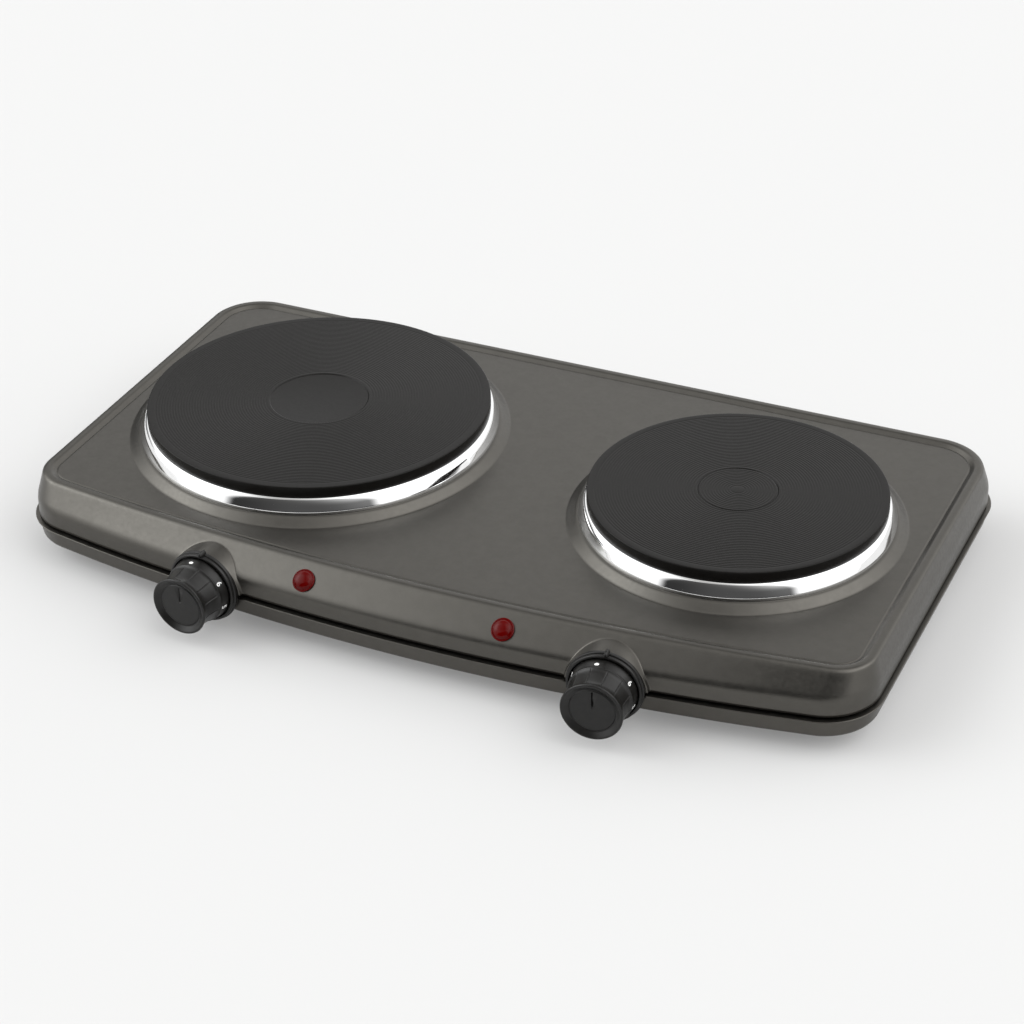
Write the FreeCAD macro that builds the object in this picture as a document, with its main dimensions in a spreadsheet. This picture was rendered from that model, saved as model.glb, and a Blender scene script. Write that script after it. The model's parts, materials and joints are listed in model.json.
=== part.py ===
import FreeCAD, Part
import math
import os
from types import SimpleNamespace

import Sketcher

# Double electric hot plate: two cast iron plates on a pressed steel body.
# Millimetres, +X to the user's right, +Y to the back, +Z up, z = 0 on the table.

os.makedirs("parts", exist_ok=True)
doc = FreeCAD.newDocument("HotPlate")
Vector = FreeCAD.Vector

DRIVING = {
    # heights above the table
    "plate_top": 62.0, "crest_top": 45.3, "panel_top": 43.8, "apron_break": 32.6,
    "skirt_bottom": 22.9, "lip_top": 21.2, "pan_bottom": 10.0, "upstand_top": 25.2,
    # plates, measured from their own centres
    "large_radius": 94.0, "small_radius": 78.0, "large_x": -114.7, "small_x": 128.7,
    "plate_y": 17.57, "plate_side": 5.8, "plate_neck": 6.0, "plate_depth": 16.0,
    "ceiling_drop": 6.5, "plate_hub": 20.0, "plate_chamfer": 0.8, "rim_wall": 5.0,
    # body outline at the skirt and at the rim, measured from the plates' centre line
    "sheet": 0.8, "skirt_half": 236.5, "skirt_back": 122.3, "skirt_front": 139.0,
    "skirt_bow": 1170.0, "skirt_corner": 30.0, "back_corner": 28.5,
    "break_in": 0.2,
    "rim_half": 233.5, "rim_back": 118.9, "rim_front": 125.3, "rim_bow": 1590.0,
    "rim_corner": 21.0, "rim_round": 0.9, "rim_band": 3.2, "step_run": 4.6,
    # raised seat pressed round each plate
    "seat_top": 48.0, "seat_edge": 0.5, "seat_shoulder": 5.2, "seat_foot": 10.6,
    # trim ring
    "ring_sheet": 0.6, "ring_top": 0.5, "ring_bulge": 2.0, "ring_knee": 54.4, "ring_foot": 4.4,
    # base pan
    "pan_taper": 0.9, "lip_out": 2.0, "upstand_in": 3.4, "slot_wide": 4.0, "slot_long": 44.0,
    "slot_pitch": 13.0,
    # knobs: a local frame whose origin is the centre of the bezel's front edge
    "knob_x": 112.0, "knob_front": 139.2, "knob_z": 23.4, "knob_splay": 5.35,
    "bezel_radius": 20.0, "bezel_thick": 4.0, "bezel_floor": 1.5, "bezel_inner": 17.9,
    "knob_long": 19.9, "knob_skirt": 17.3, "knob_face": 16.0, "knob_waist": 14.9,
    "knob_wall": 1.8, "boss_radius": 22.0, "boss_drop": 3.0, "boss_deep": 14.0,
    "seat_radius": 17.6, "shaft_radius": 3.0, "running_gap": 0.05, "bushing_radius": 4.6,
    "bracket_sheet": 1.2, "screw_x": 10.0, "screw_y": 10.0, "stat_wide": 24.0, "stat_high": 16.0,
    "stat_long": 20.0,
    # lamps
    "lamp_x": 55.3, "lamp_z": 38.0, "lamp_radius": 6.0, "lamp_neck": 4.0, "lamp_dome": 3.4,
    # fastenings and feet
    "foot_x": 205.0, "foot_front": -78.0, "foot_back": 70.0, "foot_radius": 10.0,
    "foot_sole": 8.5, "post_radius": 4.0, "post_x": 213.0, "post_front": -60.0,
    "rear_post_x": 217.0, "post_back": 87.0, "stud_radius": 3.0, "stud_end": 27.0,
    "bridge_sheet": 2.0, "bridge_wide": 16.0, "bridge_floor": 34.0,
    # mains entry
    "gland_x": 40.0, "gland_z": 32.5, "gland_radius": 5.5, "gland_bore": 3.6,
    "gland_inner": -4.2, "block_y": 64.0, "wire_radius": 1.2, "terminal_pitch": 11.0,
    "earth_x": 74.0,
    # clearances left where parts pass each other
    "hole_gap": 0.2, "lip_gap": 0.3, "notch_gap": 0.6,
}


class Size:
    """A length as a number and as the expression the document keeps for it."""

    def __init__(self, number, text):
        self.number = number
        self.text = text

    def join(self, other, sign, number):
        return Size(number, f"({self.text} {sign} {as_size(other).text})")

    def __add__(self, other):
        return self.join(other, "+", self.number + as_size(other).number)

    def __sub__(self, other):
        return self.join(other, "-", self.number - as_size(other).number)

    def __mul__(self, other):
        return self.join(other, "*", self.number * as_size(other).number)

    def __neg__(self):
        return Size(-self.number, f"(0 - {self.text})")


def as_size(value):
    return value if isinstance(value, Size) else Size(float(value), repr(float(value)))


def read_sizes():
    """Fill the spreadsheet and return its cells as named sizes."""
    sheet = doc.addObject("Spreadsheet::Sheet", "Sizes")
    for row, (alias, value) in enumerate(DRIVING.items(), start=1):
        sheet.set(f"A{row}", alias)
        sheet.set(f"B{row}", str(value))
        sheet.setAlias(f"B{row}", alias)
    doc.recompute()
    return SimpleNamespace(**{a: Size(sheet.get(a), f"Sizes.{a}") for a in DRIVING})


S = read_sizes()
V = SimpleNamespace(**{alias: getattr(S, alias).number for alias in DRIVING})
LARGE = ("large", S.large_radius, S.large_x)
SMALL = ("small", S.small_radius, S.small_x)
SIDES = (("left", -1), ("right", 1))
SIGNS = (-1, 1)
MIDDLE_POSTS = [(14.0, -58.0), (2.0, 84.0)]
SLOT_STEPS = range(-3, 4)
nodes = []


# ---------------------------------------------------------------- building helpers

def keep(item, label):
    """Name a finished sub-part; its label names its file."""
    item.Label = label
    nodes.append(item)
    return item


def bind(item, **sizes):
    for name, size in sizes.items():
        item.setExpression(name, as_size(size).text)


def move(item, x=0, y=0, z=0):
    for axis, size in zip("xyz", (x, y, z)):
        item.setExpression(f"Placement.Base.{axis}", as_size(size).text)
    return item


def cylinder(radius, height, x=0, y=0, z=0):
    item = doc.addObject("Part::Cylinder", "Cylinder")
    bind(item, Radius=radius, Height=height)
    return move(item, x, y, z)


def box(wide, deep, high, x=0, y=0, z=0):
    """A box centred on x and y that stands on z."""
    item = doc.addObject("Part::Box", "Box")
    wide, deep = as_size(wide), as_size(deep)
    bind(item, Length=wide, Width=deep, Height=high)
    return move(item, as_size(x) - wide * 0.5, as_size(y) - deep * 0.5, z)


def nut(across, height, x, y, z):
    item = doc.addObject("Part::Prism", "Nut")
    item.Polygon = 6
    bind(item, Circumradius=as_size(across) * (1 / math.sqrt(3)), Height=height)
    return move(item, x, y, z)


def joined(kind, items):
    if len(items) == 1:
        return items[0]
    item = doc.addObject(kind, "Joined")
    if kind == "Part::Compound":
        item.Links = items
    else:
        item.Shapes = items
    return item


def fuse(*items):
    return joined("Part::MultiFuse", list(items))


def group(*items):
    return joined("Part::Compound", list(items))


def cut(base, *tools):
    item = doc.addObject("Part::Cut", "Cut")
    item.Base = base
    item.Tool = fuse(*tools)
    return item


def outline_sketch(body, role, points):
    """A closed outline whose corners are all dimensioned from the origin."""
    sketch = body.newObject("Sketcher::SketchObject", "Outline")
    plane = [f for f in body.Origin.OriginFeatures if f.Role == role][0]
    sketch.AttachmentSupport = [(plane, "")]
    sketch.MapMode = "FlatFace"
    points = [(as_size(x), as_size(y)) for x, y in points]
    corners = [Vector(x.number, y.number, 0) for x, y in points]
    count = len(corners)
    for i in range(count):
        sketch.addGeometry(Part.LineSegment(corners[i], corners[(i + 1) % count]))
    for i in range(count):
        sketch.addConstraint(Sketcher.Constraint("Coincident", i, 2, (i + 1) % count, 1))
    for i, pair in enumerate(points):
        for kind, size in zip(("DistanceX", "DistanceY"), pair):
            index = sketch.addConstraint(Sketcher.Constraint(kind, -1, 1, i, 1, size.number))
            sketch.setExpression(f"Constraints[{index}]", size.text)
    return sketch


def lathe(points):
    """A body turned about +Z from (radius, height) corners."""
    body = doc.addObject("PartDesign::Body", "Turned")
    sketch = outline_sketch(body, "XZ_Plane", points)
    turn = body.newObject("PartDesign::Revolution", "Turn")
    turn.Profile = sketch
    turn.ReferenceAxis = (sketch, ["V_Axis"])
    turn.Angle = 360
    sketch.Visibility = False
    return body


def strip(points, wide):
    """A body bent up from (x, z) corners and wide along Y, centred on y = 0."""
    body = doc.addObject("PartDesign::Body", "Bent")
    sketch = outline_sketch(body, "XZ_Plane", points)
    pad = body.newObject("PartDesign::Pad", "Wide")
    pad.Profile = sketch
    bind(pad, Length=wide)
    pad.Midplane = True
    sketch.Visibility = False
    return body


def ring_of(base_radius, top_radius, low, high):
    """Corners of a plain turned ring."""
    return [(base_radius, low), (top_radius, low), (top_radius, high), (base_radius, high)]


# ---------------------------------------------------------------- body outlines

def level(z, half, back, front, bow, corner, back_corner):
    """The body's outline at one height: straight back and sides, bowed front."""
    bow_y = bow - front
    side = half - corner
    turn_y = bow_y - math.sqrt((bow - corner) ** 2 - side ** 2)
    lean = math.atan2(turn_y - bow_y, side)
    tip = (bow * math.cos(lean), bow_y + bow * math.sin(lean))
    middle = (side + corner * math.cos(lean / 2), turn_y + corner * math.sin(lean / 2))
    inner = half - back_corner
    shoulder = back - back_corner
    sloped = back_corner * math.sqrt(0.5)
    bend = (inner + sloped, shoulder + sloped)

    def at(point, mirror=1):
        return Vector(mirror * point[0], V.plate_y + point[1], z)

    edges = [
        Part.LineSegment(at((inner, back), -1), at((inner, back))),
        Part.Arc(at((inner, back)), at(bend), at((half, shoulder))),
        Part.LineSegment(at((half, shoulder)), at((half, turn_y))),
        Part.Arc(at((half, turn_y)), at(middle), at(tip)),
        Part.Arc(at(tip), at((0, -front)), at(tip, -1)),
        Part.Arc(at(tip, -1), at(middle, -1), at((half, turn_y), -1)),
        Part.LineSegment(at((half, turn_y), -1), at((half, shoulder), -1)),
        Part.Arc(at((half, shoulder), -1), at(bend, -1), at((inner, back), -1)),
    ]
    return Part.Wire([edge.toShape() for edge in edges])


def skirt_level(z, inset=0.0):
    return level(z, V.skirt_half - inset, V.skirt_back - inset, V.skirt_front - inset,
                 V.skirt_bow - inset, V.skirt_corner - inset, V.back_corner - inset)


def rim_level(z, inset=0.0):
    return level(z, V.rim_half - inset, V.rim_back - inset, V.rim_front - inset,
                 V.rim_bow - inset, V.rim_corner - inset, V.back_corner - inset)


def break_level(z, inset=0.0):
    """Where the upright skirt turns in to the sloping apron and the leaning side walls."""
    return skirt_level(z, inset + V.break_in)


def stack(*wires):
    return Part.makeLoft(list(wires), True, True)


def apron_y(x, z):
    """Where the sloping apron's outer surface lies, at x and height z."""
    low = V.skirt_front - V.break_in - x * x / (2 * V.skirt_bow)
    high = V.rim_front - x * x / (2 * V.rim_bow)
    share = (z - V.apron_break) / (V.crest_top - V.rim_round - V.apron_break)
    return V.plate_y - (low + (high - low) * share)


def knob_placement(sign):
    """The knob frame: +Z out along the knob's axis, +Y up."""
    lean = math.radians(V.knob_splay) * sign
    out = Vector(math.sin(lean), -math.cos(lean), 0)
    along = Vector(math.cos(lean), math.sin(lean), 0)
    turn = FreeCAD.Rotation(along, Vector(0, 0, 1), out, "ZYX")
    origin = Vector(sign * V.knob_x, V.plate_y - V.knob_front, V.knob_z)
    return FreeCAD.Placement(origin, turn)


def lamp_placement(sign):
    """The lamp frame: +Z square out of the apron."""
    x = sign * V.lamp_x
    high = V.crest_top - V.rim_round
    low = V.apron_break
    down = Vector(0, apron_y(x, low) - apron_y(x, high), low - high)
    along = Vector(1, (apron_y(x + 1, V.lamp_z) - apron_y(x - 1, V.lamp_z)) / 2, 0)
    along.normalize()
    down.normalize()
    out = down.cross(along)
    out.normalize()
    turn = FreeCAD.Rotation(along, out.cross(along), out, "ZYX")
    return FreeCAD.Placement(Vector(x, apron_y(x, V.lamp_z), V.lamp_z), turn)


def placed_cylinder(placement, radius, low, high, x=0.0, y=0.0):
    """A plain cylinder shape in a tilted frame."""
    shape = Part.makeCylinder(radius, high - low, Vector(x, y, low))
    shape.Placement = placement
    return shape


def sheet_part(label, shape):
    """Keep a pressed sheet shape that no primitive fits."""
    item = doc.addObject("Part::Feature", "Sheet")
    item.Shape = shape.removeSplitter()
    return keep(item, label)


# ---------------------------------------------------------------- top shell and base pan

def plate_seat(radius, x):
    """The raised seat pressed round a plate opening, with a brim to join the panel."""
    foot = radius + V.seat_foot
    shoulder = radius + V.seat_shoulder
    edge = radius - V.seat_edge
    low = V.panel_top - V.sheet
    under = V.seat_top - V.sheet
    profile = [(foot + 1, low), (foot + 1, V.panel_top), (foot, V.panel_top),
               (shoulder, V.seat_top), (edge, V.seat_top), (edge, under),
               (shoulder - V.sheet / 2, under), (foot - V.sheet / 2, low)]
    corners = [Vector(r, 0, z) for r, z in profile]
    face = Part.Face(Part.makePolygon(corners + corners[:1]))
    seat = face.revolve(Vector(0, 0, 0), Vector(0, 0, 1), 360)
    seat.translate(Vector(x, V.plate_y, 0))
    return seat


def recess(grow, low, high):
    """The shallow well that the plates stand in, inside the raised rim."""
    foot = rim_level(low, V.rim_band + V.step_run - grow)
    top = rim_level(high, V.rim_band - grow)
    return stack(foot, top)


def boss(sign, inset):
    """The pressed boss behind a knob, above the skirt's edge."""
    place = knob_placement(sign)
    face = -V.bezel_thick - inset
    bump = placed_cylinder(place, V.boss_radius - inset, face - V.boss_deep, face,
                           y=-V.boss_drop)
    above = Part.makeBox(100, 100, 100, Vector(sign * V.knob_x - 50, -180, V.skirt_bottom))
    return bump.common(above)


def shell_holes(sign):
    """Openings for the shaft bushing, the two thermostat screws and the lamp."""
    place = knob_placement(sign)
    low = -V.bezel_thick - 6
    holes = [placed_cylinder(place, V.bushing_radius + V.hole_gap, low, 0)]
    for x in (-V.screw_x, V.screw_x):
        holes.append(placed_cylinder(place, 1.7, low, 0, x, V.screw_y))
    holes.append(placed_cylinder(lamp_placement(sign), V.lamp_neck + V.hole_gap, -5, 5))
    return holes


def make_top_shell():
    t = V.sheet
    shoulder_z = V.crest_top - V.rim_round
    outer = stack(skirt_level(V.skirt_bottom), break_level(V.apron_break),
                  rim_level(shoulder_z), rim_level(V.crest_top, V.rim_round))
    inner = stack(skirt_level(V.skirt_bottom, t), break_level(V.apron_break - t / 4, t),
                  rim_level(shoulder_z - t / 2, t), rim_level(V.crest_top - t, V.rim_round + t / 2))
    inner = inner.cut(recess(t, V.panel_top - t, V.crest_top - t))
    well = recess(0, V.panel_top, V.crest_top)
    outer = outer.cut(well)
    for sign in SIGNS:
        outer = outer.fuse(boss(sign, 0))
        inner = inner.fuse(boss(sign, t))
    shell = outer.cut(inner)
    for _, radius, x in (LARGE, SMALL):
        hole = radius.number + V.seat_foot + 0.5
        centre = Vector(x.number, V.plate_y, V.skirt_bottom)
        shell = shell.cut(Part.makeCylinder(hole, 30, centre))
        shell = shell.fuse(plate_seat(radius.number, x.number))
    for sign in SIGNS:
        shell = shell.cut(shell_holes(sign))
    back = V.plate_y + V.skirt_back
    entry = Part.makeCylinder(V.gland_radius + V.hole_gap, 12, Vector(V.gland_x, back - 8, V.gland_z),
                              Vector(0, 1, 0))
    return sheet_part("top_shell", shell.cut(entry))


def make_base_pan():
    t = V.sheet
    lip_low = V.lip_top - t
    outer = stack(skirt_level(V.pan_bottom, V.pan_taper), skirt_level(lip_low))
    inner = stack(skirt_level(V.pan_bottom + t, V.pan_taper + t), skirt_level(lip_low, t))
    lip = stack(skirt_level(lip_low, -V.lip_out), skirt_level(V.lip_top, -V.lip_out))
    upstand = stack(skirt_level(lip_low, V.upstand_in), skirt_level(V.upstand_top, V.upstand_in))
    bore = stack(skirt_level(lip_low - 1, V.upstand_in + t),
                 skirt_level(V.upstand_top + 1, V.upstand_in + t))
    pan = outer.cut(inner).fuse(lip).fuse(upstand).cut(bore)
    tools = []
    for sign in SIGNS:
        place = knob_placement(sign)
        back = -V.bezel_thick
        notch = placed_cylinder(place, V.seat_radius + V.notch_gap, back - V.boss_deep, 0)
        above = Part.makeBox(100, 100, 40, Vector(sign * V.knob_x - 50, -180, V.pan_bottom + t))
        tools.append(notch.common(above))
        tools.append(placed_cylinder(place, V.bezel_radius + V.lip_gap, back - V.lip_gap, 0))
    for _, _, x in (LARGE, SMALL):
        for step in SLOT_STEPS:
            for row in SIGNS:
                tools.append(slot(x.number + step * V.slot_pitch, V.plate_y + row * V.slot_long))
    for x, y in foot_spots():
        tools.append(Part.makeCylinder(1.6, 3, Vector(x, y, V.pan_bottom - 1)))
    for x, y in post_spots():
        tools.append(Part.makeCylinder(1.8, 3, Vector(x, y, V.pan_bottom - 1)))
    return sheet_part("base_pan", pan.cut(tools))


def slot(x, y):
    """One rounded cooling slot through the pan's floor, long in Y."""
    reach = (V.slot_long * 0.8 - V.slot_wide) / 2
    low = V.pan_bottom - 1
    shape = Part.makeBox(V.slot_wide, 2 * reach, 3, Vector(x - V.slot_wide / 2, y - reach, low))
    for end in (y - reach, y + reach):
        shape = shape.fuse(Part.makeCylinder(V.slot_wide / 2, 3, Vector(x, end, low)))
    return shape


def foot_spots():
    return [(sign * V.foot_x, y) for sign in SIGNS for y in (V.foot_front, V.foot_back)]


def post_spots():
    """Corner posts outside the plate seats and two more between the plates."""
    corners = [(sign * V.post_x, V.post_front) for sign in SIGNS]
    corners += [(sign * V.rear_post_x, V.post_back) for sign in SIGNS]
    return corners + MIDDLE_POSTS


def make_posts_and_screws():
    floor = V.pan_bottom + V.sheet
    high = V.panel_top - V.sheet
    posts = []
    screws = []
    for x, y in post_spots():
        post = cylinder(S.post_radius, high - floor, x, y, floor)
        posts.append(cut(post, cylinder(1.5, 10, x, y, floor)))
        head = cylinder(3.2, 1.8, x, y, S.pan_bottom - 1.8)
        screws.append(fuse(head, cylinder(1.5, 9, x, y, S.pan_bottom)))
    keep(group(*posts), "shell_posts")
    keep(group(*screws), "base_screws")


def make_feet():
    names = ("left_front_foot", "left_rear_foot", "right_front_foot", "right_rear_foot")
    screws = []
    well = 8.0
    for label, (x, y) in zip(names, foot_spots()):
        x, y = as_size(x), as_size(y)
        foot = lathe([(1.7, well), (5.0, well), (5.0, 0), (S.foot_sole - 0.8, 0),
                      (S.foot_sole, 0.8), (S.foot_radius, S.pan_bottom), (1.7, S.pan_bottom)])
        move(foot, x, y, 0)
        keep(foot, label)
        head = cylinder(3.4, 2, x, y, well - 2)
        screws.append(fuse(head, cylinder(1.5, 12, x, y, well)))
    keep(group(*screws), "foot_screws")


# ---------------------------------------------------------------- cast iron plates

def make_plate(name, radius, x):
    """One sealed plate with its trim ring, heater, clamp and cut-out."""
    top = S.plate_top
    side = top - S.plate_side
    bottom = top - S.plate_depth
    ceiling = top - S.ceiling_drop
    neck = radius - S.plate_neck
    wall = neck - S.rim_wall
    hub = S.plate_hub
    chamfer = S.plate_chamfer
    stud_top = ceiling

    iron = lathe([(S.stud_radius, stud_top), (0, stud_top), (0, top), (radius - chamfer, top),
                  (radius, top - chamfer), (radius, side), (neck, side), (neck, bottom),
                  (wall, bottom), (wall, ceiling), (hub, ceiling), (hub, bottom),
                  (S.stud_radius, bottom)])
    move(iron, x, S.plate_y)
    keep(iron, f"{name}_plate")

    under = side - S.ring_sheet
    ring = lathe([(neck, under), (neck, side), (radius + S.ring_top, side),
                  (radius + S.ring_bulge, S.ring_knee), (radius + S.ring_foot, S.seat_top + 1),
                  (radius + S.ring_foot, S.seat_top),
                  (radius + S.ring_foot - S.ring_sheet, S.seat_top),
                  (radius + S.ring_foot - S.ring_sheet, S.seat_top + 0.9),
                  (radius + S.ring_bulge - S.ring_sheet, S.ring_knee - 0.3),
                  (radius + 0.2, under)])
    move(ring, x, S.plate_y)
    keep(ring, f"{name}_trim_ring")

    # the heating wire lies in four grooves in the ceramic mass
    wire_high = 2.5
    wire_wide = 2.5
    mass_bottom = ceiling - 6
    pitch = (V.large_radius if name == "large" else V.small_radius) - 37.0
    starts = [hub.number + 5 + pitch * step / 4 for step in range(4)]
    corners = [(hub, mass_bottom), (wall, mass_bottom), (wall, ceiling)]
    for start in reversed(starts):
        corners += [(start + wire_wide, ceiling), (start + wire_wide, ceiling - wire_high),
                    (start, ceiling - wire_high), (start, ceiling)]
    corners.append((hub, ceiling))
    mass = move(lathe(corners), x, S.plate_y)
    keep(mass, f"{name}_insulation")
    turns = [lathe(ring_of(start, start + wire_wide, ceiling - wire_high, ceiling))
             for start in starts]
    keep(group(*[move(turn, x, S.plate_y) for turn in turns]), f"{name}_heating_coil")

    cover = lathe(ring_of(4.0, neck, bottom - S.sheet, bottom))
    keep(move(cover, x, S.plate_y), f"{name}_bottom_cover")
    hang = bottom - S.sheet
    block_y = S.plate_y - 35
    block = box(26, 13, 8, x, block_y, hang - 8)
    drills = [cylinder(2.0, 6, x + dx, block_y, hang - 8) for dx in (-8, 0, 8)]
    keep(cut(block, *drills), f"{name}_terminal_block")
    cutout = fuse(cylinder(8.0, 6, x, S.plate_y + 36, hang - 6),
                  box(4, 24, 0.8, x, S.plate_y + 36, hang - 6.8))
    keep(cutout, f"{name}_thermal_cutout")

    # clamp bridge: both ends bear up under the seat, the stud pulls the plate down on it
    sheet = S.bridge_sheet
    floor = S.bridge_floor
    leg = radius - 3.4
    under_seat = S.seat_top - S.sheet
    reach = radius + S.seat_shoulder - 1
    half = [(leg + sheet, floor), (leg + sheet, under_seat - sheet), (reach, under_seat - sheet),
            (reach, under_seat), (leg, under_seat), (leg, floor + sheet)]
    mirrored = [(-px, pz) for px, pz in reversed(half)]
    bridge = cut(strip(half + mirrored, S.bridge_wide), cylinder(3.3, 10, 0, 0, floor - 4))
    keep(move(bridge, x, S.plate_y), f"{name}_clamp_bridge")
    stud = cylinder(S.stud_radius, stud_top - S.stud_end, x, S.plate_y, S.stud_end)
    keep(stud, f"{name}_stud")
    bore = cylinder(S.stud_radius, 9, x, S.plate_y, floor - 7)
    return cut(nut(10, 5, x, S.plate_y, floor - 5), bore)


# ---------------------------------------------------------------- knobs and thermostats

def seat_on_knob(item, sign):
    """Put a finished piece, drawn about the knob's axis, in its place on the body."""
    item.Placement = knob_placement(sign)
    return item


def shaft_blank():
    """A shaft with a flat where the knob grips it."""
    flat = box(8, 4, 20, 0, S.shaft_radius + 1.3, 2)
    return cut(cylinder(S.shaft_radius, 34, 0, 0, -22), flat)


def make_knob(side, sign):
    skirt = S.knob_skirt
    face = S.knob_long
    wall = S.knob_wall
    waist = S.knob_waist
    blank = lathe([
        (0, face - 3.2), (0, face - 1), (S.knob_face - 3.6, face - 1), (S.knob_face - 2.6, face),
        (S.knob_face - 0.6, face), (S.knob_face, face - 0.8), (S.knob_face - 0.3, face - 1.6),
        (waist, face - 4), (skirt - 1.2, 6), (skirt - 0.4, 5.4), (skirt, -0.6),
        (skirt - wall, -0.6), (skirt - wall - 1, 6), (waist - wall, face - 4),
        (waist - wall, face - 3.2)])
    hub = cylinder(5.2, face - 3.6, 0, 0, 1)
    grip_cuts = []
    for turn in range(12):
        groove = box(0.5, 1.2, face - 11, 0, skirt - 1.1, 7)
        grip_cuts.append(turned(groove, 15 + 30 * turn))
    slit = box(0.8, 9, 0.8, 0, 6.4, face - 1.6)
    knob = cut(fuse(blank, hub), shaft_blank(), slit, *grip_cuts)
    keep(seat_on_knob(knob, sign), f"{side}_knob")

    clip = cut(lathe(ring_of(5.2, 6.0, 4.0, 7.5)), box(5, 8, 10, 0, -5, 1))
    keep(seat_on_knob(clip, sign), f"{side}_knob_clip")
    keep(seat_on_knob(shaft_blank(), sign), f"{side}_thermostat_shaft")


def turned(item, degrees):
    """The same piece turned about the frame's Z axis."""
    ring = doc.addObject("Part::Compound", "Turned")
    ring.Links = [item]
    ring.Placement = FreeCAD.Placement(Vector(0, 0, 0), FreeCAD.Rotation(Vector(0, 0, 1), degrees))
    return ring


def make_bezel(side, sign):
    back = -S.bezel_thick
    floor = back + S.bezel_floor
    dish = lathe([(5.5, back), (S.bezel_radius, back), (S.bezel_radius, -0.6),
                  (S.bezel_radius - 0.6, 0), (S.bezel_inner, 0), (S.bezel_inner, floor),
                  (5.5, floor)])
    tick = doc.addObject("Part::Wedge", "Tick")
    bind(tick, Xmin=-2.2, Xmax=2.2, X2min=-0.3, X2max=0.3, Ymin=0, Ymax=2.2,
         Zmin=0, Zmax=3.2, Z2min=0, Z2max=2.4)
    move(tick, 0, S.bezel_radius - 0.6, back)
    holes = [cylinder(1.6, 5, x, S.screw_y, back - 1) for x in (-S.screw_x, S.screw_x)]
    keep(seat_on_knob(cut(fuse(dish, tick), *holes), sign), f"{side}_knob_bezel")


def make_thermostat(side, sign):
    seat = -S.bezel_thick - S.sheet
    plate = seat - S.bracket_sheet
    bore = S.bushing_radius
    bracket = cylinder(S.seat_radius, S.bracket_sheet, 0, 0, plate)
    holes = [cylinder(1.5, 4, x, S.screw_y, plate - 1) for x in (-S.screw_x, S.screw_x)]
    bracket = cut(bracket, cylinder(bore, 4, 0, 0, plate - 1), *holes)
    keep(seat_on_knob(bracket, sign), f"{side}_thermostat_bracket")

    end = plate - S.stat_long
    body = box(S.stat_wide, S.stat_high, S.stat_long, 0, 0, end)
    deep = cylinder(S.shaft_radius + 0.4, 30, 0, 0, end + 3)
    body = cut(body, cylinder(bore, 10, 0, 0, plate - 5), deep)
    keep(seat_on_knob(body, sign), f"{side}_thermostat_body")

    bushing = lathe(ring_of(S.shaft_radius + S.running_gap, bore, plate - 5, -S.bezel_thick + 1.2))
    keep(seat_on_knob(bushing, sign), f"{side}_thermostat_bushing")

    tabs = [box(0.8, 6.3, 8, x, 0, end - 8) for x in (-7, 7)]
    keep(seat_on_knob(group(*tabs), sign), f"{side}_thermostat_terminals")
    blade = box(6, 0.8, S.stat_long + 1.5, 0, S.stat_high * 0.5 + 0.4, end - 2)
    contact = box(3, 2.4, 2, 0, S.stat_high * 0.5 + 0.4, end - 2)
    keep(seat_on_knob(fuse(blade, contact), sign), f"{side}_bimetal_blade")

    screws = []
    for x in (-S.screw_x, S.screw_x):
        top = -S.bezel_thick + S.bezel_floor
        head = cylinder(2.7, 1.5, x, S.screw_y, top)
        screws.append(fuse(head, cylinder(1.5, 7, x, S.screw_y, top - 7)))
    return seat_on_knob(group(*screws), sign)


# ---------------------------------------------------------------- lamps

def make_lamp(side, sign):
    lens = lathe([(3.2, -9), (S.lamp_neck, -9), (S.lamp_neck, 0.05), (S.lamp_radius, 0.05),
                  (S.lamp_radius, 1.0), (S.lamp_radius - 0.6, 1.3), (S.lamp_radius - 1.2, 2.3),
                  (S.lamp_radius - 2.6, 3.0), (0, S.lamp_dome), (0, 2.0), (3.2, 1.0)])
    lens.Placement = lamp_placement(sign)
    keep(lens, f"{side}_lamp_lens")
    bulb = lathe([(0, -8), (2.8, -8), (2.8, -0.5), (1.4, 0.6), (0, 0.8)])
    bulb.Placement = lamp_placement(sign)
    keep(bulb, f"{side}_lamp_bulb")
    clip = lathe(ring_of(S.lamp_neck, 6.5, -2.4, -1.5))
    clip.Placement = lamp_placement(sign)
    return clip


# ---------------------------------------------------------------- mains entry and wiring

def make_mains():
    back = V.plate_y + V.skirt_back
    inner = S.gland_inner
    gland = lathe([(S.gland_bore, -12), (S.gland_radius, -12), (S.gland_radius + 1.6, -10),
                   (S.gland_radius + 1.6, inner), (S.gland_radius, inner), (S.gland_radius, 0.2),
                   (S.gland_radius + 2, 0.2), (S.gland_radius + 2, 2.4), (S.gland_radius + 1.4, 3),
                   (S.gland_bore, 3)])
    gland.Placement = FreeCAD.Placement(Vector(V.gland_x, back, V.gland_z),
                                        FreeCAD.Rotation(Vector(1, 0, 0), -90))
    keep(gland, "cord_gland")

    floor = S.pan_bottom + S.sheet
    block = box(34, 16, 13, S.gland_x, S.block_y, floor)
    spots = [S.gland_x + S.terminal_pitch * step for step in (-1, 0, 1)]
    wells = [cylinder(2.4, 8, x, S.block_y, floor + 7) for x in spots]
    keep(cut(block, *wells), "mains_terminal_block")
    screws = [cylinder(2.0, 4, x, S.block_y, floor + 7) for x in spots]
    keep(group(*screws), "terminal_screws")
    stud = cylinder(2.0, 9, S.earth_x, S.block_y, floor)
    keep(fuse(stud, nut(7, 3, S.earth_x, S.block_y, floor)), "earth_stud")


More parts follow.
